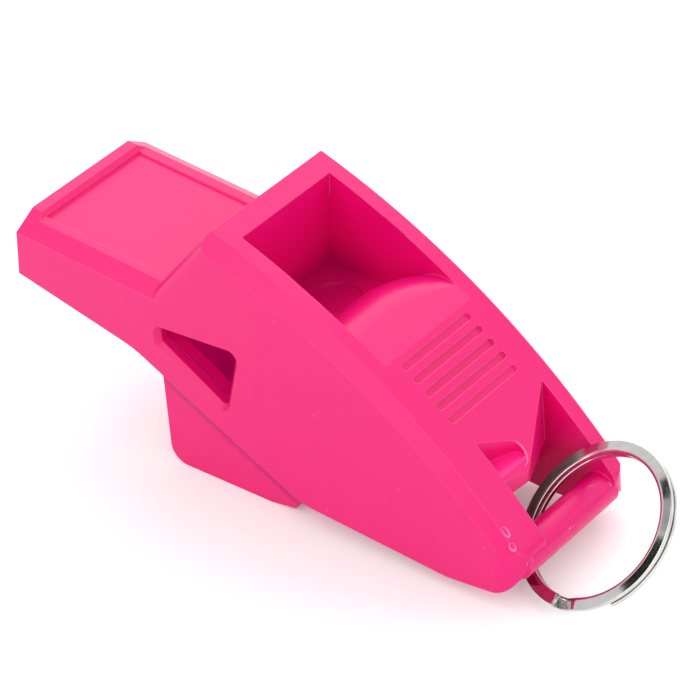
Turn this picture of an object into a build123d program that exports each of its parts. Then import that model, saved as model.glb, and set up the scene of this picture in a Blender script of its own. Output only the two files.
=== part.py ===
"""Pealess whistle with a split ring: two plastic mouldings and a steel ring.

X runs from the mouthpiece (-X) to the tail bar (+X), Z is up from the surface that the chin rests on,
and the origin is on the chin's flat. Lengths are millimetres, angles are degrees.
"""
import os
from math import atan2, cos, radians, sin, sqrt, tan

from build123d import *

os.makedirs("parts", exist_ok=True)

# Common values
body_width = 18.2
weld_gap = 0.05
overrun = 1.0

# Mouthpiece, whose top points up by mouth_pitch
mouth_pitch = 5.0
tip_reach = 21.5
tip_height = 22.2
tip_depth = 6.2
mouth_edge_drop = 1.5
mouth_edge_inset = 2.4
lip_width = 1.1
lip_slope_run = 0.45
lip_step = 0.5
panel_border = 0.9
panel_depth = 0.25
jaw_setback = 8.4
jaw_height = 12.75
jaw_round = 10.0

# Forehead, rim and tail of the upper moulding
forehead_setback = 6.1
forehead_height = 19.3
forehead_round = 1.2
rim_front_x = 1.6
rim_front_height = 28.4
rim_end_setback = 1.8
rim_end_height = 7.75
rim_sagitta = 2.36
rim_bevel = 1.35
rim_bevel_drop = 1.5
rim_bevel_arc = 60.0
tail_reach = 34.2
tail_shoulder_height = 5.7
tail_low = 1.9
tail_top_round_share = 0.4
tail_low_round_share = 0.9
tail_width = 17.4
tail_corner_round = 2.5
taper_start_x = 6.0
skirt_low_setback = 7.7
skirt_low = 1.25
skirt_knee_x = 10.4
skirt_knee = 2.7
skirt_knee_round = 4.0
bar_setback = 1.65
bar_height = 4.1
bar_radius = 1.7
bar_root = 0.4

# Top pocket and thumb rest
pocket_width = 12.4
pocket_front_x = 2.85
pocket_floor = 17.5
pocket_mark_y = 2.2
pocket_mark_share = 0.3
pocket_mark_depth = 0.2
thumb_setback = 23.4
thumb_bend_y = -1.0
thumb_far_setback = 2.4
thumb_round = 3.5
crease_setback = 15.0
crease_height = 19.65
facet_slope = 30.0
groove_slope = 37.4
groove_count = 5
groove_start = 0.8
groove_pitch = 1.22
groove_length = 9.8
groove_width = 0.72
groove_depth = 0.4

# Nose of the thumb rest, over the gap that the ring passes through, and the notch in its end
nose_far_setback = 7.65
nose_tip_setback = 3.75
nose_tip_y = -1.3
nose_near_setback = 4.25
nose_round = 1.4
nose_root = 6.5
nose_underside = 8.8
thumb_back_setback = 8.5
thumb_back_low = 4.2
notch_near_setback = 7.27
notch_far_y = 0.85
notch_floor = 10.7
notch_round = 0.9
nose_lip = 0.35

# Inner edge of the near wall, which draws in towards the tail as a shelf under the rim
shelf_start_setback = 14.2
shelf_full_setback = 7.2
shelf_y = -4.2
shelf_thickness = 2.2

# Underside cavity, which takes the lower moulding
skirt_wall = 1.35
end_wall = 1.6
ceiling_end_setback = 15.2
cavity_end_roof = 12.4

# Sound windows in the side walls
window_front_x = -5.2
window_front_low = 14.5
window_front_high = 15.9
window_top_x = 3.9
window_top = 16.5
window_low_x = 2.1
window_low = 9.9
window_round = 0.5
labium_ramp = 0.55

# Lower moulding
chin_front_x = -6.4
chin_back_x = 8.4
chin_back_rise = 0.45
chin_flat_end_x = 5.5
chin_round = 1.8
chin_wall = 1.4
centre_wall = 1.2
duct_width = 5.0
duct_end_x = -5.6
floor_rise_x = 10.6
floor_underside = 3.3
tub_top_x = 3.0

# Split ring, two turns of flat wire lying side by side
ring_diameter = 16.0
ring_wire_width = 1.1
ring_wire_height = 0.5
ring_turn_gap = 0.42
ring_reach = 2.56
ring_offset = -0.14
ring_lean = 39.5
ring_twist = 20.8
ring_start_angle = -4.0
gap_samples = 420

half_width = body_width / 2
half_pocket = pocket_width / 2
half_tail = tail_width / 2
half_cavity = half_width - skirt_wall
half_insert = half_cavity - weld_gap
above_all = rim_front_height + overrun
past_tail = tail_reach + overrun
lean = tan(radians(mouth_pitch))
mouth_length = (tip_reach - forehead_setback) / cos(radians(mouth_pitch))

# Places along the upper moulding that are set back from its tail
rim_end_x = tail_reach - rim_end_setback
skirt_low_x = tail_reach - skirt_low_setback
bar_x = tail_reach - bar_setback
thumb_front_x = tail_reach - thumb_setback
thumb_back_x = tail_reach - thumb_back_setback
crease_x = tail_reach - crease_setback
groove_first_x = crease_x + groove_start
nose_far_x = tail_reach - nose_far_setback
nose_tip_x = tail_reach - nose_tip_setback
nose_near_x = tail_reach - nose_near_setback
notch_near_x = tail_reach - notch_near_setback
shelf_start_x = tail_reach - shelf_start_setback
shelf_full_x = tail_reach - shelf_full_setback
ceiling_end_x = tail_reach - ceiling_end_setback
cavity_end_x = thumb_back_x - end_wall

# The mouthpiece's own direction, its upward normal and the corners of its side outline
along = Vector(cos(radians(mouth_pitch)), 0, -sin(radians(mouth_pitch)))
upward = Vector(sin(radians(mouth_pitch)), 0, cos(radians(mouth_pitch)))
tip_top = Vector(-tip_reach, 0, tip_height)
tip_bottom = tip_top - upward * tip_depth
jaw = Vector(-jaw_setback, 0, jaw_height)
mouth_slope = (jaw.Z - tip_bottom.Z) / (jaw.X - tip_bottom.X)
skirt_slope = (skirt_knee - jaw_height) / (skirt_knee_x + jaw_setback)
ledge_slope = (window_low - window_front_low) / (window_low_x - window_front_x)


def side(point):
    """A point's place in a sketch on the XZ plane."""
    return (point.X, point.Z)


def nearest(vertices, x, y):
    """The sketch vertex nearest to a place."""
    return vertices.sort_by_distance((x, y, 0))[0]


def tip_x(height):
    """Place of the mouthpiece's end face at a height."""
    return -tip_reach - (tip_height - height) * lean


def skirt_height(x):
    """Height of the sloping lower edge of the side walls, between the jaw and the knee."""
    return jaw_height + skirt_slope * (x + jaw_setback)


def facet_height(x):
    """Height of the plane in front of the thumb rest's crease."""
    return crease_height - (x - crease_x) * tan(radians(facet_slope))


def groove_plane_height(x):
    """Height of the thumb rest's grooved plane."""
    return crease_height - (x - crease_x) * tan(radians(groove_slope))


def duct_roof(x):
    """Height of the ceiling over the air ducts, parallel to the mouthpiece's underside."""
    return window_front_high + mouth_slope * (x - window_front_x)


def duct_floor(x):
    """Height of the air ducts' floor."""
    return window_front_low + mouth_slope * (x - window_front_x)


def nose_edge_x(y):
    """Place of the nose's slanting far edge at a distance from the middle."""
    return nose_far_x + (nose_tip_x - nose_far_x) * (half_pocket - y) / (half_pocket - nose_tip_y)


def nose_underside_height(x):
    """Height of the nose's sloping underside."""
    return nose_root + (nose_underside - nose_root) * (x - thumb_back_x) / (nose_tip_x - thumb_back_x)


def shelf_underside(x):
    """Height of the underside of the near wall's shelf."""
    drop = nose_root - rim_end_height + shelf_thickness
    return nose_root - drop * (x - thumb_back_x) / (rim_end_x - thumb_back_x)


def ledge_height(x):
    """Height of the line along the lower edge of the windows."""
    return window_front_low + ledge_slope * (x - window_front_x)


mouth_plane = Plane(origin=tip_top, x_dir=(0, -1, 0), z_dir=along)
mouth_top_plane = Plane(origin=tip_top, x_dir=along, z_dir=upward)

# Side outline of the ceiling inside the upper moulding, from the mouth to the back of the chambers
ceiling = [
    (window_front_x, window_front_high),
    (window_top_x, window_top),
    (ceiling_end_x, window_top),
    (cavity_end_x, cavity_end_roof),
]

# Mouthpiece of the upper moulding: a wedge with chamfered top edges, a lip and a sunk panel
with BuildPart() as mouthpiece:
    with BuildSketch(Plane.XZ) as wedge_outline:
        with BuildLine():
            inner_top = tip_top + along * (mouth_length + mouth_edge_inset)
            inner_low = Vector(inner_top.X, 0, skirt_height(inner_top.X))
            Polyline(side(tip_top), side(inner_top), side(inner_low), side(jaw), side(tip_bottom), close=True)
        make_face()
        fillet(nearest(wedge_outline.vertices(), jaw.X, jaw.Z), jaw_round)
    extrude(amount=half_width, both=True)
    with BuildSketch(mouth_plane):
        with BuildLine():
            flat_half = half_width - mouth_edge_inset
            Polyline(
                (-flat_half, 0),
                (flat_half, 0),
                (half_width, mouth_edge_drop),
                (half_width, tip_height),
                (-half_width, tip_height),
                (-half_width, mouth_edge_drop),
                close=True,
            )
        make_face()
    extrude(amount=mouth_length * 2, mode=Mode.INTERSECT)
    with BuildSketch(Plane(origin=tip_top, x_dir=along, z_dir=(0, -1, 0))):
        with BuildLine():
            Polyline(
                (lip_width, 0),
                (lip_width + lip_slope_run, -lip_step),
                (mouth_length * 2, -lip_step),
                (mouth_length * 2, overrun),
                (lip_width, overrun),
                close=True,
            )
        make_face()
    extrude(amount=half_width, both=True, mode=Mode.SUBTRACT)
    panel_start = lip_width + lip_slope_run
    border_inset = mouth_edge_inset * (mouth_edge_drop - lip_step) / mouth_edge_drop + panel_border
    with BuildSketch(mouth_top_plane.offset(-lip_step)):
        with Locations((panel_start, 0)):
            Rectangle(mouth_length * 2, body_width - 2 * border_inset, align=(Align.MIN, Align.CENTER))
    extrude(amount=-panel_depth, mode=Mode.SUBTRACT)

# Thumb rest: a block with a curved front, rounded over into the two sloping planes that it is cut by
with BuildPart() as thumb_block:
    block_half = half_pocket + overrun
    with BuildSketch(Plane.XY):
        with BuildLine():
            Line((thumb_front_x, -block_half), (thumb_front_x, thumb_bend_y))
            TangentArc(
                (thumb_front_x, thumb_bend_y),
                (thumb_front_x + thumb_far_setback, block_half),
                tangent=(0, 1),
            )
            Polyline(
                (thumb_front_x + thumb_far_setback, block_half),
                (past_tail + overrun, block_half),
                (past_tail + overrun, -block_half),
                (thumb_front_x, -block_half),
            )
        make_face()
    extrude(amount=above_all)
    with BuildSketch(Plane.XZ):
        with BuildLine():
            block_start = thumb_front_x - overrun
            block_end = past_tail + 2 * overrun
            Polyline(
                (block_start, facet_height(block_start)),
                (block_end, facet_height(block_end)),
                (block_end, above_all + overrun),
                (block_start, above_all + overrun),
                close=True,
            )
        make_face()
    extrude(amount=block_half + overrun, both=True, mode=Mode.SUBTRACT)
    facet_face = thumb_block.faces().sort_by(Axis.Z)[-1]
    front_edges = facet_face.edges().sort_by(Axis.X)[:2]
    fillet(front_edges, thumb_round)
    with BuildSketch(Plane.XZ):
        with BuildLine():
            Polyline(
                (crease_x, crease_height),
                (block_end, groove_plane_height(block_end)),
                (block_end, above_all),
                (crease_x, above_all),
                close=True,
            )
        make_face()
    extrude(amount=block_half + overrun, both=True, mode=Mode.SUBTRACT)

# Space of the top pocket, which the thumb rest reaches into
with BuildPart() as pocket_space:
    with BuildSketch(Plane.XZ):
        with BuildLine():
            Polyline(
                (pocket_front_x, pocket_floor),
                (past_tail, pocket_floor),
                (past_tail, above_all),
                (pocket_front_x + (above_all - pocket_floor) * lean, above_all),
                close=True,
            )
        make_face()
    extrude(amount=half_pocket, both=True)
    with BuildSketch(Plane.XZ):
        with BuildLine():
            Polyline(
                (crease_x, pocket_floor),
                (past_tail, pocket_floor),
                (past_tail, -overrun),
                (crease_x, -overrun),
                close=True,
            )
        make_face()
    extrude(amount=half_pocket, both=True)
    with BuildSketch(Plane.XY.offset(-2 * overrun)):
        with BuildLine():
            Polyline(
                (0, -half_pocket),
                (shelf_start_x, -half_pocket),
                (shelf_full_x, shelf_y),
                (past_tail, shelf_y),
                (past_tail, half_pocket),
                (0, half_pocket),
                close=True,
            )
        make_face()
    extrude(amount=above_all + 2 * overrun, mode=Mode.INTERSECT)
    add(thumb_block.part, mode=Mode.SUBTRACT)

# Upper moulding
with BuildPart() as upper_body:
    # Body between forehead, rim arc, tail and skirt
    with BuildSketch(Plane.XZ) as body_outline:
        with BuildLine():
            forehead_foot = (-forehead_setback, forehead_height)
            rim_start = (rim_front_x, rim_front_height)
            rim_end = (rim_end_x, rim_end_height)
            Line(forehead_foot, rim_start)
            SagittaArc(rim_start, rim_end, rim_sagitta)
            Polyline(
                rim_end,
                (tail_reach, tail_shoulder_height),
                (tail_reach, tail_low),
                (skirt_low_x, skirt_low),
                (skirt_knee_x, skirt_knee),
                (-forehead_setback, skirt_height(-forehead_setback)),
                forehead_foot,
            )
        make_face()
        tail_height = tail_shoulder_height - tail_low
        shoulder = nearest(body_outline.vertices(), tail_reach, tail_shoulder_height)
        fillet(shoulder, tail_height * tail_top_round_share)
        heel = nearest(body_outline.vertices(), tail_reach, tail_low)
        fillet(heel, tail_height * tail_low_round_share)
        fillet(nearest(body_outline.vertices(), skirt_low_x, skirt_low), skirt_knee_round)
        fillet(nearest(body_outline.vertices(), skirt_knee_x, skirt_knee), skirt_knee_round)
    extrude(amount=half_width, both=True)
    rim_edge = upper_body.edges().filter_by(GeomType.CIRCLE).sort_by(SortBy.RADIUS)[-1]
    rim_centre = Vector(rim_edge.arc_center.X, 0, rim_edge.arc_center.Z)
    rim_radius = rim_edge.radius

    # Sides that draw in towards the tail, and the tail's corners seen from above
    with BuildSketch(Plane.XY.offset(-overrun)) as body_plan:
        with BuildLine():
            body_front_x = -forehead_setback - overrun
            Polyline(
                (body_front_x, -half_width),
                (taper_start_x, -half_width),
                (tail_reach, -half_tail),
                (tail_reach, half_tail),
                (taper_start_x, half_width),
                (body_front_x, half_width),
                close=True,
            )
        make_face()
        fillet(nearest(body_plan.vertices(), tail_reach, -half_tail), tail_corner_round)
        fillet(nearest(body_plan.vertices(), tail_reach, half_tail), tail_corner_round)
    extrude(amount=above_all + overrun, mode=Mode.INTERSECT)

    # Forehead's side edges, rounded
    forehead_middle_x = (rim_front_x - forehead_setback) / 2
    forehead_middle_z = (rim_front_height + forehead_height) / 2
    for sign in (-1, 1):
        middle = (forehead_middle_x, sign * half_width, forehead_middle_z)
        fillet(upper_body.edges().filter_by(GeomType.LINE).sort_by_distance(middle)[0], forehead_round)

    # Bevel along both outer edges of the rim, turned about the rim arc's own centre
    with BuildSketch(Plane(origin=rim_centre, x_dir=(0, 1, 0), z_dir=(1, 0, 0))):
        for sign in (-1, 1):
            with BuildLine():
                Polyline(
                    (sign * (half_width - 2 * rim_bevel), rim_radius + rim_bevel_drop),
                    (sign * (half_width + rim_bevel), rim_radius + rim_bevel_drop),
                    (sign * (half_width + rim_bevel), rim_radius - 2 * rim_bevel_drop),
                    close=True,
                )
            make_face()
    revolve(axis=Axis(rim_centre, (0, 1, 0)), revolution_arc=rim_bevel_arc, mode=Mode.SUBTRACT)
    add(mouthpiece.part)

    # Top pocket around the thumb rest
    add(pocket_space.part, mode=Mode.SUBTRACT)
    with BuildSketch(Plane.XY.offset(pocket_floor)):
        with Locations(((pocket_front_x + thumb_front_x) / 2, pocket_mark_y)):
            Circle((thumb_front_x - pocket_front_x) * pocket_mark_share)
    extrude(amount=-pocket_mark_depth, mode=Mode.SUBTRACT)

    # Finger grooves, spaced along X and sunk square to their plane
    groove_plane = Plane(
        origin=(groove_first_x, 0, groove_plane_height(groove_first_x)),
        x_dir=(0, 1, 0),
        z_dir=(sin(radians(groove_slope)), 0, cos(radians(groove_slope))),
    )
    with BuildSketch(groove_plane):
        for index in range(groove_count):
            with Locations((0, -index * groove_pitch / cos(radians(groove_slope)))):
                SlotOverall(groove_length, groove_width)
    extrude(amount=-groove_depth, mode=Mode.SUBTRACT)

    # Opening behind the nose, right through, and the rooms under the nose and the near wall's shelf
    with BuildSketch(Plane.XY.offset(-overrun)) as tail_opening:
        with BuildLine():
            Polyline(
                (nose_far_x, half_pocket),
                (nose_tip_x, nose_tip_y),
                (nose_near_x, shelf_y),
                (past_tail, shelf_y),
                (past_tail, half_pocket),
                close=True,
            )
        make_face()
        fillet(nearest(tail_opening.vertices(), nose_tip_x, nose_tip_y), nose_round)
    extrude(amount=above_all, mode=Mode.SUBTRACT)
    for start_y, room_width, room_end in (
        (half_pocket, half_pocket - shelf_y, nose_underside_height(past_tail)),
        (shelf_y, half_pocket + shelf_y, shelf_underside(past_tail)),
    ):
        with BuildSketch(Plane.XZ.offset(-start_y)):
            with BuildLine():
                Polyline(
                    (cavity_end_x, -overrun),
                    (past_tail, -overrun),
                    (past_tail, room_end),
                    (thumb_back_x, nose_root),
                    (thumb_back_x, thumb_back_low),
                    (cavity_end_x, thumb_back_low),
                    close=True,
                )
            make_face()
        extrude(amount=room_width, mode=Mode.SUBTRACT)

    # Notch in the end of the nose: a level floor behind a thin lip along the nose's far edge
    lip_run = nose_lip / cos(atan2(nose_tip_x - nose_far_x, half_pocket - nose_tip_y))
    notch_far_x = nose_edge_x(notch_far_y) - lip_run
    with BuildSketch(Plane.XY.offset(notch_floor)) as notch:
        with BuildLine():
            Polyline(
                (notch_near_x, shelf_y),
                (notch_far_x, notch_far_y),
                (nose_edge_x(shelf_y) - lip_run, shelf_y),
                close=True,
            )
        make_face()
        fillet(nearest(notch.vertices(), notch_far_x, notch_far_y), notch_round)
    extrude(amount=above_all, mode=Mode.SUBTRACT)

    # Bar across the tail, rooted in both walls, which carries the ring
    with BuildSketch(Plane.XZ):
        with Locations((bar_x, bar_height)):
            Circle(bar_radius)
    extrude(amount=half_pocket + bar_root, both=True)

    # Cavity from underneath, open at the mouth and along the chin
    with BuildSketch(Plane.XZ):
        with BuildLine():
            cavity_start = -tip_reach - 2 * overrun
            Polyline(
                (cavity_start, duct_roof(cavity_start)),
                *ceiling,
                (cavity_end_x, -overrun),
                (cavity_start, -overrun),
                close=True,
            )
        make_face()
    extrude(amount=half_cavity, both=True, mode=Mode.SUBTRACT)

    # Sound window through each side wall, with a ramp on the edge that splits the air
    with BuildSketch(Plane.XZ) as window:
        with BuildLine():
            Polyline(
                (window_front_x, window_front_low),
                (window_front_x, window_front_high),
                (window_top_x, window_top),
                (window_low_x, window_low),
                close=True,
            )
        make_face()
        fillet(window.vertices(), window_round)
    extrude(amount=half_width, both=True, mode=Mode.SUBTRACT)
    labium_middle_x = (window_top_x + window_low_x) / 2
    labium_middle_z = (window_top + window_low) / 2
    for sign in (-1, 1):
        middle = (labium_middle_x, sign * half_width, labium_middle_z)
        chamfer(upper_body.edges().filter_by(GeomType.LINE).sort_by_distance(middle)[0], labium_ramp)
    upper_body.part.label = "upper_body"

# Lower moulding: duct floor, chin, two tubs and the wall between the chambers
with BuildPart() as lower_insert:
    insert_end_x = cavity_end_x - weld_gap
    tub_top = ledge_height(tub_top_x)
    tip_duct_roof = duct_roof(-tip_reach) - weld_gap
    with BuildSketch(Plane.XZ) as insert_outline:
        with BuildLine():
            Polyline(
                (tip_x(tip_duct_roof), tip_duct_roof),
                (duct_end_x, duct_roof(duct_end_x) - weld_gap),
                (duct_end_x, duct_floor(duct_end_x)),
                (window_front_x, window_front_low),
                (tub_top_x, tub_top),
                (insert_end_x, tub_top),
                (insert_end_x, floor_underside),
                (floor_rise_x, floor_underside),
                (chin_back_x, chin_back_rise),
                (chin_flat_end_x, 0),
                (chin_front_x, 0),
                (chin_front_x, skirt_height(chin_front_x)),
                side(jaw),
                side(tip_bottom),
                close=True,
            )
        make_face()
        fillet(nearest(insert_outline.vertices(), chin_front_x, 0), chin_round)
        fillet(nearest(insert_outline.vertices(), jaw.X, jaw.Z), jaw_round)
    extrude(amount=half_insert, both=True)

    # Chambers, one each side of the middle
    with BuildSketch(Plane.XZ):
        with BuildLine():
            chamber_front_x = chin_front_x + chin_wall
            chamber_end_x = insert_end_x - chin_wall
            Polyline(
                (chamber_front_x, chin_wall),
                (chin_flat_end_x, chin_wall),
                (chin_back_x - chin_wall, chin_back_rise + chin_wall),
                (floor_rise_x - chin_wall, floor_underside + chin_wall),
                (chamber_end_x, floor_underside + chin_wall),
                (chamber_end_x, above_all),
                (chamber_front_x, above_all),
                close=True,
            )
        make_face()
    extrude(amount=half_insert - chin_wall, both=True, mode=Mode.SUBTRACT)

    # Two air ducts, sunk into the top of the mouth block
    with BuildSketch(Plane.XZ):
        with BuildLine():
            duct_start = -tip_reach - 2 * overrun
            Polyline(
                (duct_start, duct_floor(duct_start)),
                (window_front_x, window_front_low),
                (window_front_x, above_all),
                (duct_start, above_all),
                close=True,
            )
        make_face()
    extrude(amount=centre_wall / 2 + duct_width, both=True, mode=Mode.SUBTRACT)

    # Wall between the two chambers and ducts, up to the ceiling
    with BuildSketch(Plane.XZ):
        with BuildLine():
            Polyline(
                (tip_x(tip_duct_roof), tip_duct_roof),
                *[(x, height - weld_gap) for x, height in ceiling[:-1]],
                (insert_end_x, cavity_end_roof - weld_gap),
                (insert_end_x, floor_underside),
                (floor_rise_x, floor_underside),
                (chin_back_x, chin_back_rise + chin_wall),
                (chamber_front_x, chin_wall),
                (chamber_front_x, skirt_height(chin_front_x)),
                (jaw.X, jaw.Z + weld_gap),
                (tip_x(tip_bottom.Z + weld_gap), tip_bottom.Z + weld_gap),
                close=True,
            )
        make_face()
    extrude(amount=centre_wall / 2, both=True)
    lower_insert.part.label = "lower_insert"

# Split ring: the path runs three quarters of a turn at the lower level, climbs for a quarter turn on
# two tangent arcs, and runs three quarters of a turn at the upper level
ring_radius = (ring_diameter - ring_wire_width) / 2
ring_pitch = ring_wire_height + ring_turn_gap
ring_half_height = ring_wire_height + ring_turn_gap / 2
ring_height = ring_diameter / 2 * sin(radians(ring_lean)) + ring_half_height * cos(radians(ring_lean))
ring_normal = Vector(
    -sin(radians(ring_twist)) * sin(radians(ring_lean)),
    -cos(radians(ring_twist)) * sin(radians(ring_lean)),
    cos(radians(ring_lean)),
)
ring_plane = Plane(
    origin=(tail_reach + ring_reach, ring_offset, ring_height),
    x_dir=Vector(0, 1, 0).cross(ring_normal),
    z_dir=ring_normal,
)


def ring_point(angle, level):
    """Point on the ring's path at an angle round it and a level across it."""
    turn = radians(angle)
    return ring_plane.from_local_coords(Vector(ring_radius * cos(turn), ring_radius * sin(turn), level))


def ring_heading(angle):
    """Direction of the ring's path at an angle, where it is level."""
    turn = radians(angle)
    return ring_plane.x_dir * -sin(turn) + ring_plane.y_dir * cos(turn)


climb_angle = ring_start_angle + 270
top_angle = ring_start_angle + 360
end_angle = ring_start_angle + 630
low_level = -ring_pitch / 2
high_level = ring_pitch / 2
climb_from = ring_point(climb_angle, low_level)
climb_to = ring_point(top_angle, high_level)
heading_from = ring_heading(climb_angle)
heading_to = ring_heading(top_angle)
climb = climb_to - climb_from
headings = heading_from + heading_to
spread = 2 * (1 - heading_from.dot(heading_to))
reach = (sqrt(climb.dot(headings) ** 2 + spread * climb.dot(climb)) - climb.dot(headings)) / spread
climb_joint = (climb_from + climb_to + (heading_from - heading_to) * reach) / 2
heading_joint = (climb_to - heading_to * reach) - (climb_from + heading_from * reach)

with BuildPart() as split_ring:
    with BuildLine() as ring_path:
        low_mid = ring_point(ring_start_angle + 180, low_level)
        high_mid = ring_point(top_angle + 180, high_level)
        TangentArc(ring_point(ring_start_angle, low_level), low_mid, tangent=ring_heading(ring_start_angle))
        TangentArc(low_mid, climb_from, tangent=ring_heading(ring_start_angle + 180))
        TangentArc(climb_from, climb_joint, tangent=heading_from)
        TangentArc(climb_joint, climb_to, tangent=heading_joint)
        TangentArc(climb_to, high_mid, tangent=heading_to)
        TangentArc(high_mid, ring_point(end_angle, high_level), tangent=ring_heading(top_angle + 180))
    wire_plane = Plane(
        origin=ring_point(ring_start_angle, low_level),
        x_dir=ring_normal,
        z_dir=ring_heading(ring_start_angle),
    )
    with BuildSketch(wire_plane):
        Rectangle(ring_wire_height, ring_wire_width)
    sweep(path=ring_path.line)
    split_ring.part.label = "split_ring"

# Least gap of the ring's wire to itself, measured across the wire between points a half turn or more apart
path_points = [ring_path.line @ (index / gap_samples) for index in range(gap_samples + 1)]
half_turn_steps = gap_samples * 180 // 630
least_gap = min(
    (path_points[early] - path_points[late]).length - ring_wire_height
    for early in range(gap_samples + 1)
    for late in range(early + half_turn_steps, gap_samples + 1)
)
print("rim arc radius %.2f, least gap between the ring's turns %.3f" % (rim_radius, least_gap))

for piece in (upper_body, lower_insert, split_ring):
    export_step(piece.part, "parts/%s.step" % piece.part.label)
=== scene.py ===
# %% [markdown]
# # A pink pealess whistle on its split ring
# This lesson dresses a small moulded whistle for a studio picture. The exact solids of the two plastic
# mouldings and of the steel ring come from the frame, in metres, with Z up from the table. The two
# mouldings keep their solids and get their finish here, the ring gets a closer winding, and a few small
# marks of the mould are added. All of it is placed in the frame's own directions, so it meets the solids
# where they are.

import math
import random

import bmesh
import bpy
from mathutils import Matrix, Vector


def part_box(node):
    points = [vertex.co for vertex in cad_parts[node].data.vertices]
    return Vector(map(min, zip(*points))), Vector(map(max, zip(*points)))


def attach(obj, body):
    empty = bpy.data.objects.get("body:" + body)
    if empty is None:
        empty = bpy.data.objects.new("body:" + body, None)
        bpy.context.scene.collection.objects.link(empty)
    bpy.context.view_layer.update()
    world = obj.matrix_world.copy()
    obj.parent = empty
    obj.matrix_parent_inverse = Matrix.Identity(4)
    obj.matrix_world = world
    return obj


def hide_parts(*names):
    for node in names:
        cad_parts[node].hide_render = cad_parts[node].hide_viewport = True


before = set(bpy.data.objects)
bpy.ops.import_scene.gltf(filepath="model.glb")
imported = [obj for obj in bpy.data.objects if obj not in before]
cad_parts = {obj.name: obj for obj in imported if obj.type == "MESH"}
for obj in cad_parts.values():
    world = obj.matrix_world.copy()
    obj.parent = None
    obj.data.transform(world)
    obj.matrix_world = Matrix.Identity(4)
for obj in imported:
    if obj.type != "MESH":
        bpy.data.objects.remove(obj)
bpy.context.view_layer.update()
scene = bpy.context.scene
scene.view_settings.view_transform = "Standard"

# %% [markdown]
# ## The camera
# The picture was taken from above the near side of the tail, with a long lens, which keeps the edges
# nearly parallel. A camera can be aimed by hand or with a tracking constraint. Here its three axes and its
# place were worked out from the whistle's straight edges, so they are written as a matrix.

# %% Camera
MM = 0.001
PICTURE_PIXELS = 700
FOCAL_PIXELS = 3760
SENSOR_WIDTH = 36
NEAREST_SEEN = 10 * MM
CAMERA_RIGHT = Vector((0.7834, 0.6177, -0.0685))
CAMERA_UP = Vector((-0.3152, 0.4899, 0.8129))
CAMERA_BACK = Vector((0.5357, -0.6152, 0.5784))
CAMERA_PLACE = Vector((190.97, -208.08, 209.73)) * MM
camera_data = bpy.data.cameras.new("studio_camera")
camera_data.sensor_width = SENSOR_WIDTH
camera_data.sensor_fit = "HORIZONTAL"
camera_data.lens = SENSOR_WIDTH * FOCAL_PIXELS / PICTURE_PIXELS
camera_data.clip_start = NEAREST_SEEN
camera = bpy.data.objects.new("studio_camera", camera_data)
scene.collection.objects.link(camera)
turn = Matrix((CAMERA_RIGHT, CAMERA_UP, CAMERA_BACK)).transposed().to_4x4()
camera.matrix_world = Matrix.Translation(CAMERA_PLACE) @ turn
scene.camera = camera
print("lens %.1f mm, %.0f mm from the flat under the chin" % (camera_data.lens, CAMERA_PLACE.length / MM))

# %% [markdown]
# ## Writing shaders as sums
# A material is a graph of nodes. Wiring each one by hand hides the idea, so one small class wraps a socket
# and lets Python's own operators add the Math nodes: `1 - mask` or `grain * 0.2` then reads as it would on
# paper. Every other node comes from one method, which takes the node's type, its settings and its inputs.


# %% Socket class
class Wire:
    """An output socket that can be added, multiplied and compared."""

    def __init__(self, tree, socket):
        self.tree = tree
        self.socket = socket

    def node(self, kind, settings=None, **inputs):
        """A node with its settings, then inputs by name or, as _0, by number; returns its first output."""
        made = self.tree.nodes.new(kind)
        for name, value in (settings or {}).items():
            setattr(made, name, value)
        for name, value in inputs.items():
            key = int(name[1:]) if name[0] == "_" else name.replace("_", " ")
            self.feed(made.inputs[key], value)
        return Wire(self.tree, next(socket for socket in made.outputs if socket.enabled))

    def feed(self, socket, value):
        """Links a wire to a socket, or sets a plain value on it."""
        if isinstance(value, Wire):
            self.tree.links.new(value.socket, socket)
        else:
            socket.default_value = value

    def out(self, name):
        """Another output of the node that this wire leaves."""
        return Wire(self.tree, self.socket.node.outputs[name])

    def sum(self, operation, first, second):
        """A Math node on two wires or numbers."""
        return self.node("ShaderNodeMath", {"operation": operation}, _0=first, _1=second)

    def __add__(self, other):
        return self.sum("ADD", self, other)

    __radd__ = __add__

    def __sub__(self, other):
        return self.sum("SUBTRACT", self, other)

    def __rsub__(self, other):
        return self.sum("SUBTRACT", other, self)

    def __mul__(self, other):
        return self.sum("MULTIPLY", self, other)

    __rmul__ = __mul__

    def __truediv__(self, other):
        return self.sum("DIVIDE", self, other)

    def __pow__(self, other):
        return self.sum("POWER", self, other)

    def __gt__(self, other):
        return self.sum("GREATER_THAN", self, other)

    def __abs__(self):
        return self.node("ShaderNodeMath", {"operation": "ABSOLUTE"}, _0=self)

    def band(self, low, high):
        """A smooth step from 0 at low to 1 at high."""
        settings = {"interpolation_type": "SMOOTHSTEP"}
        return self.node("ShaderNodeMapRange", settings, _0=self, _1=low, _2=high, _3=0.0, _4=1.0)

    def mix(self, low_colour, high_colour):
        """A colour between two, by this wire."""
        settings = {"data_type": "RGBA"}
        return self.node("ShaderNodeMix", settings, _0=self, _6=low_colour, _7=high_colour)

    def axis(self, name):
        """One of the three numbers of a vector."""
        return self.node("ShaderNodeSeparateXYZ", Vector=self).out(name)

    def dot(self, direction):
        """How far a vector reaches along a direction."""
        return self.node("ShaderNodeVectorMath", {"operation": "DOT_PRODUCT"}, _0=self, _1=direction)


def new_material(name):
    """A material with its shader, and a wire that gives each point's place on its object."""
    material = bpy.data.materials.new(name)
    material.use_nodes = True
    tree = material.node_tree
    shader = tree.nodes["Principled BSDF"]
    place = Wire(tree, tree.nodes.new("ShaderNodeTexCoord").outputs["Object"])
    return material, shader, place


print("shader sums ready")

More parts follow.
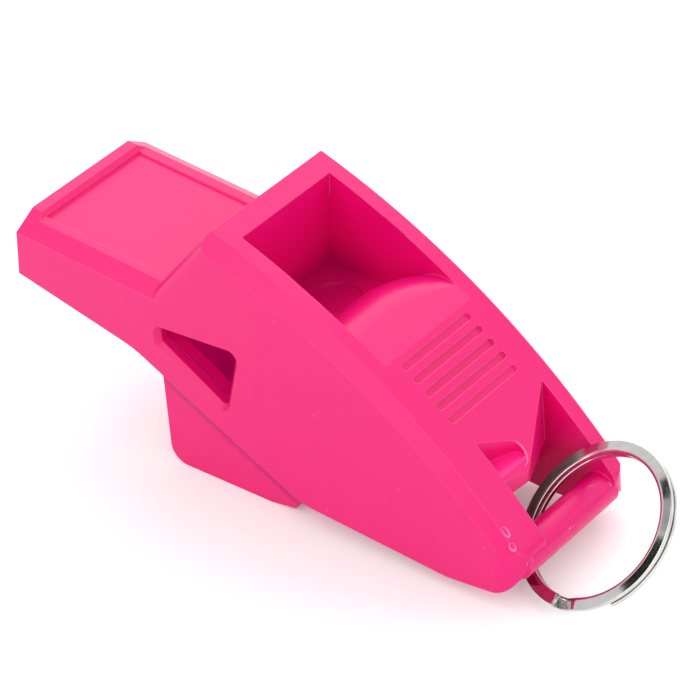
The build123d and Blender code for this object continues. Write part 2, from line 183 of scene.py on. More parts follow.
# %% [markdown]
# ## Floor
# The whistle is shown on plain white. With no floor at all it would seem to hang in the air, so a large
# pale one catches its soft shadow. For the rays that come from the camera or from shiny metal the floor
# also gives a little light, which lifts it to white. The shadow stays, because that light is added to the
# floor's normal shading and doesn't fall on the plastic.

# %% Floor
WHITE = (1, 1, 1, 1)
FLOOR_HALF = 1.5
FLOOR_DROP = 0.02 * MM
FLOOR_TONE = (0.9, 0.9, 0.9, 1)
FLOOR_ROUGHNESS = 0.8
FLOOR_GLOW = 0.18
UNIT_SQUARE = ((-1, -1), (1, -1), (1, 1), (-1, 1))
floor_corners = [(x * FLOOR_HALF, y * FLOOR_HALF, -FLOOR_DROP) for x, y in UNIT_SQUARE]
floor_mesh = bpy.data.meshes.new("studio_floor")
floor_mesh.from_pydata(floor_corners, [], [(0, 1, 2, 3)])
floor = bpy.data.objects.new("studio_floor", floor_mesh)
scene.collection.objects.link(floor)
floor_material, floor_shader, floor_place = new_material("pale_floor")
floor_shader.inputs["Base Color"].default_value = FLOOR_TONE
floor_shader.inputs["Roughness"].default_value = FLOOR_ROUGHNESS
floor_shader.inputs["Specular IOR Level"].default_value = 0.0
floor_tree = floor_material.node_tree
rays = floor_place.node("ShaderNodeLightPath")
seen = rays.out("Is Camera Ray") + rays.out("Is Glossy Ray")
glow = floor_place.node("ShaderNodeEmission", Color=WHITE, Strength=seen * FLOOR_GLOW)
shading = Wire(floor_tree, floor_shader.outputs[0])
lit_floor = floor_place.node("ShaderNodeAddShader", _0=shading, _1=glow)
floor_place.feed(floor_tree.nodes["Material Output"].inputs["Surface"], lit_floor)
floor_mesh.materials.append(floor_material)
print("floor %.1f m wide" % (2 * FLOOR_HALF))

# %% [markdown]
# ## A white tent with dark cards
# Plastic in a white tent is lit evenly from all sides, and its hollows go dark by themselves. Polished
# metal shows nothing but its surroundings, so an all-white tent would leave the ring flat and pale.
# Photographers hang dark cards in the tent for that. Each card here is a round patch of the sky, given by
# its compass angle, its height, its reach and its soft edge in degrees. The tent is dimmer straight above,
# which darkens the pocket, and brighter toward the tail than toward the mouthpiece. The camera itself sees
# only white past the floor.

# %% Sky
world = bpy.data.worlds.new("white_tent")
scene.world = world
world.use_nodes = True
world_tree = world.node_tree
sky = Wire(world_tree, world_tree.nodes.new("ShaderNodeTexCoord").outputs["Generated"])


def card(compass, height, reach, edge):
    """A mask of a round patch of the sky, with a soft edge; all four in degrees."""
    flat = math.cos(math.radians(height))
    aim = (
        flat * math.cos(math.radians(compass)),
        flat * math.sin(math.radians(compass)),
        math.sin(math.radians(height)),
    )
    return sky.dot(aim).band(math.cos(math.radians(reach + edge)), math.cos(math.radians(reach)))


print("sky of", world.name)

# %% Tent
HORIZON_LIGHT = 0.25
HORIZON_BAND = (0.08, 0.3)
ROOF_DIMMING = 0.45
ROOF_BAND = (0.7, 0.95)
TENT_LIGHT = 1.18
TAIL_LIGHT = 0.33
# Compass angle, height, reach and soft edge in degrees, then how dark the card is.
DARK_CARDS = (
    (215.5, 41.5, 5.0, 1.2, 0.98),
    (196.5, 47.3, 2.0, 0.6, 0.96),
    (205.0, 47.5, 2.6, 1.6, 0.5),
)
sky_height = sky.axis("Z")
tent = HORIZON_LIGHT + sky_height.band(*HORIZON_BAND) * (1 - HORIZON_LIGHT)
tent = tent * (1 - sky_height.band(*ROOF_BAND) * ROOF_DIMMING)
tent = tent * (TENT_LIGHT + sky.axis("X") * TAIL_LIGHT)
tent = tent * (1 - sum(card(*patch) * darkness for *patch, darkness in DARK_CARDS))
to_camera = sky.node("ShaderNodeLightPath").out("Is Camera Ray")
world_shader = world_tree.nodes["Background"]
sky.feed(world_shader.inputs["Color"], WHITE)
sky.feed(world_shader.inputs["Strength"], tent + to_camera * (1 - tent))
print("tent with", len(DARK_CARDS), "cards")

# %% [markdown]
# ## Soft studio light
# The flat tops of the plastic are a little paler than its sides, as a soft light stands behind the whistle
# and glances off them to the camera. A smaller one on the left does the same for the chamfers of the
# mouthpiece, and a third fills the near side. Sun or point lamps would give hard shadows, so all three are
# area lamps that are far larger than the whistle.

# %% Lamps
LAMP_AIM = Vector((5, 0, 12)) * MM
# Name, place in metres, width in metres and power in watts.
SOFT_LAMPS = (
    ("back_softbox", (-0.2, 0.45, 0.55), 0.8, 1.6),
    ("left_softbox", (-0.273, -0.304, 0.63), 0.28, 0.4),
    ("front_fill", (0.05, -0.62, 0.3), 0.6, 0.9),
)
for name, place, width, power in SOFT_LAMPS:
    lamp_data = bpy.data.lights.new(name, "AREA")
    lamp_data.shape = "DISK"
    lamp_data.size = width
    lamp_data.energy = power
    lamp = bpy.data.objects.new(name, lamp_data)
    lamp.location = place
    lamp.rotation_euler = (LAMP_AIM - Vector(place)).to_track_quat("-Z", "Y").to_euler()
    scene.collection.objects.link(lamp)
    print(name, "%.1f W" % power)

# %% [markdown]
# ## The thumb rest
# Behind the pocket the thumb lies on a slope with five grooves. On the real moulding a facet in front of
# the grooves is a little flatter than that slope, and its bowed front edge drops away to the pocket. On
# the solid the facet is cut flush with the rim, so its crease is nearly lost. A normal says which way a
# surface faces, and light follows it. So the normals of those two patches are tipped, and they shade as if
# they were turned while the solid stays as it is.

# %% Thumb rest
REST_START = 10.4
REST_LOW_BAND = (18.6, 18.8)
REST_HALF_WIDTH = 6.2
REST_SIDE_FADE = 0.05
FRONT_EDGE = 16.05
FRONT_SKEW = 0.19
FRONT_BOW = 0.014
FRONT_FADE = 0.1
CREASE_BAND = (19.0, 19.15)
FACET_TIP = -0.2
FRONT_TIP = -0.22


def in_mm(place, axis):
    """How far a point lies along one of the frame's axes, in mm."""
    return place.axis(axis) / MM


def thumb_tip(place):
    """How far the thumb rest's normals are tipped along the whistle, on its facet and in front of it."""
    along = in_mm(place, "X")
    across = in_mm(place, "Y")
    front_edge = across * FRONT_SKEW + across * across * FRONT_BOW + FRONT_EDGE
    behind_edge = (along - front_edge).band(-FRONT_FADE, FRONT_FADE)
    on_facet = behind_edge * (1 - along.band(*CREASE_BAND))
    on_rest = in_mm(place, "Z").band(*REST_LOW_BAND) * (along > REST_START)
    on_rest = on_rest * (REST_HALF_WIDTH - abs(across)).band(0.0, REST_SIDE_FADE)
    return on_rest * (on_facet * FACET_TIP + (1 - behind_edge) * FRONT_TIP)


print("thumb rest from %.1f mm to its crease at %.1f mm" % (REST_START, CREASE_BAND[0]))

# %% [markdown]
# ## Hollows and shade
# Some light passes through thin plastic, so the real sound chambers are brighter than an opaque pink would
# be. Full subsurface scattering would be slow, and the model couldn't keep it, so the chambers are painted
# a
# paler pink and given a faint glow: painted light. The floor of the notch in the nose and the low steps
# round the mouthpiece's panel are painted a paler pink too, as painted light. The other way round, the
# strip under the edge of the upper moulding and the floor of the pocket lie in more shade than the tent
# gives, so they
# are painted darker: painted shade. Each place is a mask: a box in mm, or a distance that fades.

# %% Boxes
UPPER_CHAMBERS = ((-6.0, -7.8, 9.0), (17.0, 7.8, 16.9))
INSERT_CHAMBERS = ((-5.2, -6.35, 1.3), (17.0, 6.35, 16.6))
NOTCH_FLOOR = ((26.5, -4.3, 10.6), (31.0, 1.2, 10.78))
PANEL_STEPS = ((-19.9, -7.0, 19.8), (-6.3, 7.0, 22.0))
POCKET_CORNERS = ((2.7, -6.25, 17.0), (12.0, 6.25, 25.0))
POCKET_LOW_PART = ((2.7, -6.3, 17.0), (10.7, 6.3, 21.5))


def inside_box(place, box):
    """A mask that is 1 inside a box, given by its lowest and highest corners in mm."""
    mask = 1
    for axis, lowest, highest in zip("XYZ", *box):
        reach = in_mm(place, axis)
        mask = mask * (reach > lowest) * (1 - (reach > highest))
    return mask


print("chambers up to %.1f mm above the table" % UPPER_CHAMBERS[1][2])

# %% Shade
SKIRT_START = 8.26
SKIRT_SLOPE = 0.5346
STRIP_WIDTH = 3.1
STRIP_FADE = 0.8
INSERT_SIDES = 7.483
POCKET_RISE = (17.6, 21.5)
POCKET_RUN = (5.5, 10.5)


def skirt_strip(place):
    """A mask of the strip along the insert's sides that lies in the shade of the upper moulding's edge."""
    below = SKIRT_START - in_mm(place, "X") * SKIRT_SLOPE - in_mm(place, "Z")
    on_sides = abs(in_mm(place, "Y")) > INSERT_SIDES
    return (1 - below.band(STRIP_WIDTH - STRIP_FADE, STRIP_WIDTH)) * on_sides


def pocket_depth(place):
    """A mask that grows towards the floor and the front wall of the top pocket."""
    low = 1 - in_mm(place, "Z").band(*POCKET_RISE)
    forward = 1 - in_mm(place, "X").band(*POCKET_RUN)
    return inside_box(place, POCKET_LOW_PART) * low * forward


print("shade strip %.1f mm wide" % STRIP_WIDTH)

# %% [markdown]
# ## Moulded pink plastic
# The whistle is injection moulded in a strong pink, with a satin gloss. The colour is nearly even, so the
# interest is in small things: corners that are slightly round and catch a thin line of light, a gloss that
# varies a little from place to place, and a few raised specks of dust. The Bevel node rounds the normals
# near each edge without any change of the mesh, and comparing them with the plain normals gives a mask of
# the edges. A paler pink is painted on that mask as well: a painted highlight along the edges. The dust
# specks take the same paler pink as their own colour. One function makes the plastic of both mouldings,
# and the masks of the cells above are laid over its pink one after another.

# %% Pinks
PINKS = ((0.79, 0.001, 0.162, 1), (0.81, 0.002, 0.17, 1))
# A painted highlight along the edges, which is also the own colour of the dust specks.
EDGE_HIGHLIGHT_AND_SPECK_PINK = (0.98, 0.13, 0.33, 1)
# Painted light in the chambers: a paler pink and a faint glow, for light through thin plastic.
CHAMBER_PAINTED_LIGHT = (1.0, 0.004, 0.36, 1)
CHAMBER_PAINTED_GLOW = (0.036, 0.0, 0.028, 1)
# Painted light: a paler pink on the floor of the notch and on the low steps round the panel.
NOTCH_PAINTED_LIGHT = (0.98, 0.01, 0.24, 1)
STEP_PAINTED_LIGHT = (1.0, 0.07, 0.29, 1)
SHADED_PINK = (0.57, 0.0005, 0.135, 1)
NO_GLOW = (0, 0, 0, 1)
UPRIGHT_BAND = (0.5, 0.9)


def upper_paints(place, plain_normal):
    """Masks and colours of the upper moulding alone, in the order that they are laid on."""
    upright = 1 - plain_normal.axis("Z").band(*UPRIGHT_BAND)
    # The notch's floor and the panel's steps get painted light, the pocket painted shade.
    return [
        (inside_box(place, NOTCH_FLOOR), NOTCH_PAINTED_LIGHT),
        (pocket_depth(place), SHADED_PINK),
        (inside_box(place, PANEL_STEPS) * upright, STEP_PAINTED_LIGHT),
    ]


def upper_normal(place, soft_normal, plain_normal):
    """The upper moulding's normals: plain at the panel's steps, tipped on the thumb rest, else soft."""
    steps = inside_box(place, PANEL_STEPS)
    normal = place.node("ShaderNodeMix", {"data_type": "VECTOR"}, _0=steps, _4=soft_normal, _5=plain_normal)
    tip = place.node("ShaderNodeCombineXYZ", X=thumb_tip(place))
    normal = place.node("ShaderNodeVectorMath", {"operation": "ADD"}, _0=normal, _1=tip)
    return place.node("ShaderNodeVectorMath", {"operation": "NORMALIZE"}, _0=normal)


print("pinks from", PINKS[0][:3], "to", PINKS[1][:3])

# %% Plastic
GRAIN = {"Scale": 2600.0, "Detail": 3.0, "Roughness": 0.6}
CLOUD = {"Scale": 90.0, "Detail": 2.0, "Roughness": 0.5}
CLOUD_BAND = (0.3, 0.7)
DUST = {"Scale": 330.0, "Randomness": 1.0}
SPECK_BAND = (0.03, 0.075)
SPECK_PALENESS = 0.25
SPECK_RELIEF = {"Strength": 0.2, "Distance": 0.02 * MM}
EDGE_RADIUS = 0.14 * MM
EDGE_SAMPLES = 6
EDGE_BAND = (0.004, 0.12)
LEAST_ROUGHNESS = 0.285
CLOUD_ROUGHNESS = 0.05
GRAIN_ROUGHNESS = 0.02
PLASTIC_IOR = 1.46
PLASTIC_GLOSS = 0.42


def pink_plastic(name, chambers, edge_highlight, is_upper):
    """Satin pink plastic for one moulding, given its chambers' box and how strong its painted edge
    highlight is.
    """
    material, shader, place = new_material(name)
    grain = place.node("ShaderNodeTexNoise", Vector=place, **GRAIN)
    cloud = place.node("ShaderNodeTexNoise", Vector=place, **CLOUD)
    speck = 1 - place.node("ShaderNodeTexVoronoi", Vector=place, **DUST).band(*SPECK_BAND)
    normal = place.node("ShaderNodeBevel", {"samples": EDGE_SAMPLES}, Radius=EDGE_RADIUS)
    plain_normal = place.node("ShaderNodeNewGeometry").out("Normal")
    edge = (1 - normal.dot(plain_normal)).band(*EDGE_BAND)
    # Edges are painted paler, as a painted highlight; the dust specks are paler in their own colour.
    edge_highlight_and_dust = edge * edge_highlight * (1 - inside_box(place, POCKET_CORNERS)) + speck * SPECK_PALENESS
    # Inside the chambers a paler pink is painted, as painted light.
    in_chambers = inside_box(place, chambers)
    paints = [(edge_highlight_and_dust, EDGE_HIGHLIGHT_AND_SPECK_PINK), (in_chambers, CHAMBER_PAINTED_LIGHT)]
    if is_upper:
        paints += upper_paints(place, plain_normal)
        normal = upper_normal(place, normal, plain_normal)
    else:
        paints.append((skirt_strip(place), SHADED_PINK))
    colour = cloud.band(*CLOUD_BAND).mix(*PINKS)
    for mask, paint in paints:
        colour = mask.mix(colour, paint)
    roughness = LEAST_ROUGHNESS + cloud * CLOUD_ROUGHNESS + grain * GRAIN_ROUGHNESS
    bump = place.node("ShaderNodeBump", Height=speck, Normal=normal, **SPECK_RELIEF)
    place.feed(shader.inputs["Base Color"], colour)
    # A painted glow in the chambers, as painted light.
    place.feed(shader.inputs["Emission Color"], in_chambers.mix(NO_GLOW, CHAMBER_PAINTED_GLOW))
    place.feed(shader.inputs["Roughness"], roughness)
    place.feed(shader.inputs["Normal"], bump)
    shader.inputs["Emission Strength"].default_value = 1.0
    shader.inputs["IOR"].default_value = PLASTIC_IOR
    shader.inputs["Specular IOR Level"].default_value = PLASTIC_GLOSS
    return material


print("plastic at least %.3f rough" % LEAST_ROUGHNESS)

# %% Dress the mouldings
# How strong the painted highlight along the edges is, on each moulding.
UPPER_EDGE_HIGHLIGHT = 0.8
INSERT_EDGE_HIGHLIGHT = 0.1
upper_plastic = pink_plastic("pink_plastic_upper", UPPER_CHAMBERS, UPPER_EDGE_HIGHLIGHT, True)
insert_plastic = pink_plastic("pink_plastic_insert", INSERT_CHAMBERS, INSERT_EDGE_HIGHLIGHT, False)
for node_name, plastic in (("upper_body", upper_plastic), ("lower_insert", insert_plastic)):
    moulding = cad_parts[node_name]
    moulding.data.materials.clear()
    moulding.data.materials.append(plastic)
    print(plastic.name, "on", node_name, "with", len(moulding.data.polygons), "faces")

# %% [markdown]
# ## Marks of the mould
# A cheap moulding keeps traces of how it was made. Near the tail there are two small raised ovals, left by
# pins, and a thin bead round the end of the notch. Where the halves of the mould met there are a few
# ragged flakes of flash. A bump in the material could hint at them, but they stand up from the plastic and
# catch light on their sides, so they are meshes. Each is a row of small rounds of points with a skin
# between them, set on the plastic by its place and by the direction that the surface faces there.

# %% Skin
BAR_SIDES = 8
marks_bm = bmesh.new()


def bar_round(core, outward, upward, half_thick):
    """A round of points about the core of a thin bar."""
    angles = [math.tau * side / BAR_SIDES for side in range(BAR_SIDES)]
    ways = [outward * math.cos(angle) + upward * math.sin(angle) for angle in angles]
    return [marks_bm.verts.new(core + way * half_thick) for way in ways]


def skin(bm, rows):
    """Faces between each round of points and the next."""
    for before, after in zip(rows, rows[1:]):
        for part in range(len(before)):
            following = (part + 1) % len(before)
            bm.faces.new((before[part], before[following], after[following], after[part]))


def skin_with_ends(bm, rows):
    """The same skin, with a face on the first round and on the last."""
    skin(bm, rows)
    bm.faces.new(rows[0])
    bm.faces.new(rows[-1][::-1])


print("bars of", BAR_SIDES, "sides")

# %% Pin marks
TAIL_SLOPE = Vector((0.745, 0, 0.667)).normalized()
PIN_STEPS = 28
PIN_HALF_THICK = 0.12 * MM
PIN_SWELL_SHARE = 0.42
PIN_HEIGHT_SHARE = 0.7
# Place, half length and half width in mm, and the angle where the rim is thickest, in radians.
PIN_MARKS = (
    ((32.26, -7.4, 7.9), 0.5, 0.26, 0.4),
    ((33.18, -7.73, 6.87), 0.36, 0.3, -0.5),
)
down_slope = Vector((0, 1, 0)).cross(TAIL_SLOPE).normalized()
level_slope = TAIL_SLOPE.cross(down_slope)
for place, half_long, half_short, swell_angle in PIN_MARKS:
    rim_rows = []
    for step in range(PIN_STEPS):
        angle = math.tau * step / PIN_STEPS
        down = down_slope * math.cos(angle)
        level = level_slope * math.sin(angle)
        core = (Vector(place) + down * half_long + level * half_short) * MM
        swell = 1 - PIN_SWELL_SHARE + PIN_SWELL_SHARE * math.cos(angle - swell_angle)
        upward = TAIL_SLOPE * PIN_HEIGHT_SHARE
        rim_rows.append(bar_round(core, down + level, upward, PIN_HALF_THICK * swell))
    skin(marks_bm, rim_rows + rim_rows[:1])
print(len(PIN_MARKS), "pin marks")

# %% Notch bead
BEAD_STEPS = 20
BEAD_FIRST = 130
BEAD_LAST = -14
BEAD_MIDDLE = Vector((29.05, -1.31, 11.29)) * MM
BEAD_RADIUS = 1.0 * MM
BEAD_SLOPE = 0.985
BEAD_UP = Vector((0.7, 0, 0.71))
BEAD_HALF_THICK = 0.085 * MM
BEAD_END_SHARE = 0.15
bead_rows = []
for step in range(BEAD_STEPS + 1):
    share = step / BEAD_STEPS
    angle = math.radians(BEAD_FIRST + (BEAD_LAST - BEAD_FIRST) * share)
    outward = Vector((math.cos(angle), math.sin(angle), 0))
    core = BEAD_MIDDLE + outward * BEAD_RADIUS
    core.z -= (core.x - BEAD_MIDDLE.x) * BEAD_SLOPE
    swell = BEAD_END_SHARE + (1 - BEAD_END_SHARE) * math.sin(math.pi * share)
    bead_rows.append(bar_round(core, outward, BEAD_UP, BEAD_HALF_THICK * swell))
skin_with_ends(marks_bm, bead_rows)
print("bead over", BEAD_FIRST - BEAD_LAST, "degrees")

# %% Flash
FLAKE_STEPS = 6
FLAKE_END_SHARE = 0.05
FLAKE_SWAY_SHARES = (-0.3, 0.3)
FLAKE_HEIGHT_SHARES = (0.4, 1.0)
FLAKE_SUNK_SHARE = 0.3
# Place in mm, the way the surface faces, the way the flake runs, and its length and width in mm.
FLAKES = (
    ((34.07, -6.95, 4.9), (0.95, -0.3, 0), (0.05, 0.16, 0.98), 0.5, 0.13),
    ((34.12, -6.6, 5.25), (0.97, -0.2, 0), (0.05, 0.16, 0.98), 0.3, 0.1),
    ((34.13, -0.7, 4.7), (0.93, 0, 0.36), (0, 1, 0), 0.55, 0.14),
    ((34.16, -0.2, 4.62), (0.95, 0, 0.3), (0, 1, 0), 0.3, 0.1),
    ((33.86, 5.9, 5.18), (0.73, 0, 0.68), (0.68, 0, -0.73), 0.6, 0.13),
    ((32.95, 4.1, 5.73), (0.25, 0, 0.97), (0.3, 0.95, 0), 0.8, 0.09),
)
marks_random = random.Random(21)


def flake(place, facing, along, length, width):
    """A ragged low ridge of flash along a direction, in metres."""
    side = facing.cross(along).normalized()
    rows = []
    for step in range(FLAKE_STEPS + 1):
        share = step / FLAKE_STEPS * 2 - 1
        swell = (1 - share * share) ** 0.5 + FLAKE_END_SHARE
        sway = side * width * marks_random.uniform(*FLAKE_SWAY_SHARES)
        core = place + along * length / 2 * share + sway
        high = facing * width * swell * marks_random.uniform(*FLAKE_HEIGHT_SHARES)
        foot = side * width / 2 * swell
        points = (core + foot, core + high, core - foot, core - facing * width * FLAKE_SUNK_SHARE)
        rows.append([marks_bm.verts.new(point) for point in points])
    skin_with_ends(marks_bm, rows)


for place, facing, along, length, width in FLAKES:
    directions = Vector(facing).normalized(), Vector(along).normalized()
    flake(Vector(place) * MM, *directions, length * MM, width * MM)
print(len(FLAKES), "flakes of flash")

# %% Marks piece
bmesh.ops.recalc_face_normals(marks_bm, faces=marks_bm.faces)
marks_mesh = bpy.data.meshes.new("moulding_marks")
marks_bm.to_mesh(marks_mesh)
marks_bm.free()
marks = bpy.data.objects.new("moulding_marks", marks_mesh)
scene.collection.objects.link(marks)
for face in marks_mesh.polygons:
    face.use_smooth = True
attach(marks, "whistle")
print("marks", len(marks_mesh.polygons), "faces")

# %% [markdown]
# ## Scuffed plastic with a painted highlight
# Thin raised plastic is rubbed in use, so the marks are a little duller than the smooth walls. They are
# also painted paler, partly as rubbed plastic and partly as a painted highlight on their small raised
# shapes. A plain pale colour would make them look painted. A fine noise moves both the colour and the
# gloss instead.

# %% Scuffed plastic and painted highlight
SCUFF = {"Scale": 9000.0, "Detail": 2.0, "Roughness": 0.5}
SCUFF_BAND = (0.35, 0.65)
# Paler pinks: partly rubbed plastic, partly a painted highlight on the raised marks.
SCUFF_AND_HIGHLIGHT_PINKS = ((0.95, 0.08, 0.3, 1), (1.0, 0.22, 0.42, 1))
SCUFF_LEAST_ROUGHNESS = 0.29
SCUFF_ROUGHNESS = 0.1
scuff_and_highlight, scuffed_shader, scuffed_place = new_material("scuffed_plastic_painted_highlight")
scuff = scuffed_place.node("ShaderNodeTexNoise", Vector=scuffed_place, **SCUFF)
scuffed_place.feed(scuffed_shader.inputs["Base Color"], scuff.band(*SCUFF_BAND).mix(*SCUFF_AND_HIGHLIGHT_PINKS))
scuffed_place.feed(scuffed_shader.inputs["Roughness"], SCUFF_LEAST_ROUGHNESS + scuff * SCUFF_ROUGHNESS)
marks_mesh.materials.append(scuff_and_highlight)
print(scuff_and_highlight.name, "on", marks.name)

# %% [markdown]
# ## The split ring
# A split ring is one length of flat spring wire, wound twice and pressed so that its turns lie together.
# The solid in the frame keeps the turns apart, so a closer ring is made here in its place. It hangs on the
# tail bar at a lean, turned a little about the upright, and those two angles give the three directions
# that it is wound in.

# %% Ring values
RING_RADIUS = 7.98 * MM
RING_MIDDLE = Vector((36.76, -0.14, 5.637)) * MM
RING_LEAN = math.radians(39.5)
RING_TWIST = math.radians(20.8)
ring_low, ring_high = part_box("split_ring")
ring_normal = Vector(
    (
        -math.sin(RING_TWIST) * math.sin(RING_LEAN),
        -math.cos(RING_TWIST) * math.sin(RING_LEAN),
        math.cos(RING_LEAN),
    )
)
ring_side = Vector((0, 1, 0)).cross(ring_normal).normalized()
ring_rise = ring_normal.cross(ring_side)
print("ring box middle", [round(v / MM, 2) for v in (ring_low + ring_high) / 2])

# %% [markdown]
# ## The wire's section
# Flat wire that is bent on edge grows thicker inside the bend and thinner outside, so its section is a
# keystone with rounded corners. A plain rectangle would reflect as four flat bands. The faces that slope
# and the round shoulder inside the ring spread the reflections, so the section is drawn from arcs and
# mirrored.

# %% Wire section
WIRE_WIDTH = 1.17 * MM
WIRE_HEIGHT = 0.54 * MM
OUTER_CORNER = 0.08 * MM
INNER_CORNER = 0.1 * MM
SHOULDER = 0.5 * MM
FACE_TILT = 8
SHOULDER_TILT = 30
ARC_STEPS = 6
FACE_SHARES = (0.06, 0.94)


def spoke(angle):
    """A unit step outward and across, at an angle in degrees."""
    return Vector((math.cos(math.radians(angle)), math.sin(math.radians(angle))))


def arc(centre, radius, first, last):
    """Points on an arc, from one angle to another."""
    angles = [first + (last - first) * step / ARC_STEPS for step in range(ARC_STEPS + 1)]
    return [centre + spoke(angle) * radius for angle in angles]


def wire_section():
    """Points round the keystone section: outer corner, sloping face, shoulder, inner corner, mirrored."""
    face = 90 - FACE_TILT
    slope = math.tan(math.radians(FACE_TILT))
    outer = WIRE_WIDTH / 2 - OUTER_CORNER
    corner_end = outer + OUTER_CORNER * spoke(face).x
    outer_centre = Vector((outer, WIRE_HEIGHT / 2 - corner_end * slope - OUTER_CORNER * spoke(face).y))
    rim = 90 + SHOULDER_TILT
    inner_x = INNER_CORNER - WIRE_WIDTH / 2
    shoulder_x = inner_x + (INNER_CORNER - SHOULDER) * spoke(rim).x
    start_x = shoulder_x + SHOULDER * spoke(face).x
    shoulder_centre = Vector((shoulder_x, WIRE_HEIGHT / 2 - start_x * slope - SHOULDER * spoke(face).y))
    inner_centre = shoulder_centre + spoke(rim) * (SHOULDER - INNER_CORNER)
    upper = arc(outer_centre, OUTER_CORNER, 0, face)
    shoulder = arc(shoulder_centre, SHOULDER, face, rim)
    upper += [upper[-1].lerp(shoulder[0], share) for share in FACE_SHARES]
    upper += shoulder
    upper += arc(inner_centre, INNER_CORNER, rim, 180)[1:]
    return upper + [Vector((point.x, -point.y)) for point in reversed(upper)]


section = wire_section()
print("wire section of", len(section), "points")

# %% [markdown]
# ## Winding the ring
# The section is carried along the winding, one round of points at a time. A curve with a bevel object
# could do that too, but its ends would be flat. On the real ring the wire is sheared off roughly at both
# ends. Where the upper turn ends, the lower one climbs behind it, with a narrow slot between them. So the
# mesh is wound by a loop, and the points of each end are moved a little at random round a shallow pit.

# %% Ring mesh
FULL_TURN = 360
UPPER_END = 258
LOWER_END = 301 - FULL_TURN
END_SLOT = 2
CLIMB = 18
STEP_ANGLE = 1.5
TURN_PITCH = 0.63 * MM
ring_bm = bmesh.new()
loops = []
for step in range(int((UPPER_END + FULL_TURN - LOWER_END) / STEP_ANGLE) + 1):
    angle = LOWER_END + step * STEP_ANGLE
    rise = min(max((angle - UPPER_END - END_SLOT) / CLIMB, 0), 1)
    level = TURN_PITCH * (rise * rise * (3 - 2 * rise) - 0.5)
    outward = ring_side * math.cos(math.radians(angle)) + ring_rise * math.sin(math.radians(angle))
    core = RING_MIDDLE + outward * (RING_RADIUS - WIRE_WIDTH / 2) + ring_normal * level
    loops.append([ring_bm.verts.new(core + outward * point.x + ring_normal * point.y) for point in section])
skin(ring_bm, loops)
print("winding of", len(loops), "rounds")

# %% Ring ends
END_RAGGED = (-0.08, 0.12)
END_PIT = 0.12 * MM
ring_random = random.Random(7)
for end, inner in ((loops[0], loops[1]), (loops[-1], loops[-2])):
    along = (end[0].co - inner[0].co).normalized()
    middle = sum((vert.co for vert in end), Vector()) / len(end)
    for vert in end:
        vert.co += along * ring_random.uniform(*END_RAGGED) * MM
    pit = ring_bm.verts.new(middle - along * END_PIT)
    for index in range(len(end)):
        ring_bm.faces.new((end[index - 1], end[index], pit))
bmesh.ops.recalc_face_normals(ring_bm, faces=ring_bm.faces)
print("sheared ends with pits of %.2f mm" % (END_PIT / MM))

# %% Ring piece
SHARP_ANGLE = math.radians(20)
ring_mesh = bpy.data.meshes.new("wound_ring")
ring_bm.to_mesh(ring_mesh)
ring_bm.free()
ring = bpy.data.objects.new("wound_ring", ring_mesh)
scene.collection.objects.link(ring)
for face in ring_mesh.polygons:
    face.use_smooth = len(face.vertices) == 4
ring_mesh.set_sharp_from_angle(angle=SHARP_ANGLE)
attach(ring, "ring")
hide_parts("split_ring")
print("ring", len(ring_mesh.polygons), "faces")

# %% [markdown]
# ## Polished nickel
# The ring is nickel-plated steel: a mirror with fine drawn lines along the wire. An image of scratches
# would have to be bent round the ring. Instead the lines are a noise that changes with the distance from
# the ring's axis and with the height along it, but hardly along the wire. Where the ring passes round the
# bar, a dark and dull patch is painted on its nickel: a painted dark reflection. That place is a direction
# round the ring, on the face that looks up along its axis.

# %% Places on the ring
# The direction round the ring where a dark reflection is painted.
DARK_PATCH_ANGLE = math.radians(158)
nickel, nickel_shader, nickel_place = new_material("polished_nickel")
away = nickel_place.node("ShaderNodeVectorMath", {"operation": "SUBTRACT"}, _0=nickel_place, _1=RING_MIDDLE)
across, aside, ahead = (away.dot(direction) / MM for direction in (ring_normal, ring_side, ring_rise))
radial = (aside * aside + ahead * ahead) ** 0.5
toward_bar = (aside * math.cos(DARK_PATCH_ANGLE) + ahead * math.sin(DARK_PATCH_ANGLE)) / radial
facing_axis = nickel_place.out("Normal").dot(ring_normal)
print("worn at %.0f degrees" % math.degrees(DARK_PATCH_ANGLE))

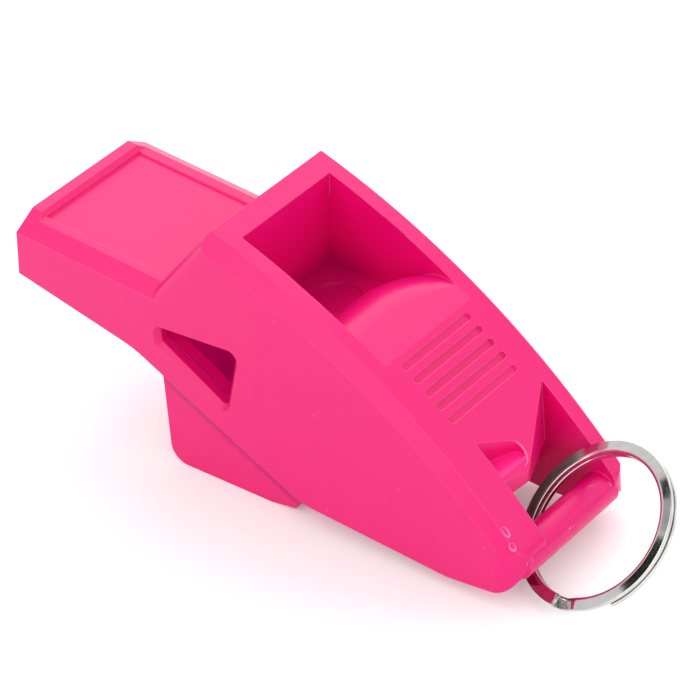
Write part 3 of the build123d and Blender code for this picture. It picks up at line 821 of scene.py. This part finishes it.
# %% Nickel
DRAWN_LINES = {"Scale": 14.0, "Detail": 3.0, "Roughness": 0.65}
SMEARS = {"Scale": 420.0, "Detail": 4.0, "Roughness": 0.6}
SMEAR_BAND = (0.3, 0.75)
CLEAN_NICKEL = ((0.56, 0.55, 0.54, 1), (0.7, 0.69, 0.67, 1))
# A painted dark reflection: dark, dull nickel in one patch.
DARK_REFLECTION_BAND = (0.35, 0.65)
DARK_REFLECTION_NICKEL = ((0.05, 0.055, 0.05, 1), (0.15, 0.16, 0.145, 1))
DARK_PATCH_RAGGED = 0.08
DARK_PATCH_BAND = (0.8, 0.92)
DARK_PATCH_FACE_BAND = (0.8, 0.95)
DARK_PATCH_METAL_LOSS = 0.8
NICKEL_ROUGHNESS = 0.06
DRAWN_BAND = (0.4, 0.8)
DRAWN_ROUGHNESS = 0.07
DARK_PATCH_ROUGHNESS = 0.25
line_place = nickel_place.node("ShaderNodeCombineXYZ", X=radial, Y=across, Z=toward_bar)
drawn = nickel_place.node("ShaderNodeTexNoise", Vector=line_place, **DRAWN_LINES)
smear = nickel_place.node("ShaderNodeTexNoise", Vector=nickel_place, **SMEARS)
# The patch of painted dark reflection, on the face that looks up along the axis.
painted_dark_patch = (toward_bar + drawn * DARK_PATCH_RAGGED).band(*DARK_PATCH_BAND) * facing_axis.band(*DARK_PATCH_FACE_BAND)
clean = smear.band(*SMEAR_BAND).mix(*CLEAN_NICKEL)
dark_reflection = drawn.band(*DARK_REFLECTION_BAND).mix(*DARK_REFLECTION_NICKEL)
roughness = NICKEL_ROUGHNESS + drawn.band(*DRAWN_BAND) * DRAWN_ROUGHNESS + painted_dark_patch * DARK_PATCH_ROUGHNESS
nickel_place.feed(nickel_shader.inputs["Base Color"], painted_dark_patch.mix(clean, dark_reflection))
nickel_place.feed(nickel_shader.inputs["Metallic"], 1 - painted_dark_patch * DARK_PATCH_METAL_LOSS)
nickel_place.feed(nickel_shader.inputs["Roughness"], roughness)
ring_mesh.materials.append(nickel)
print(nickel.name, "on", ring.name)
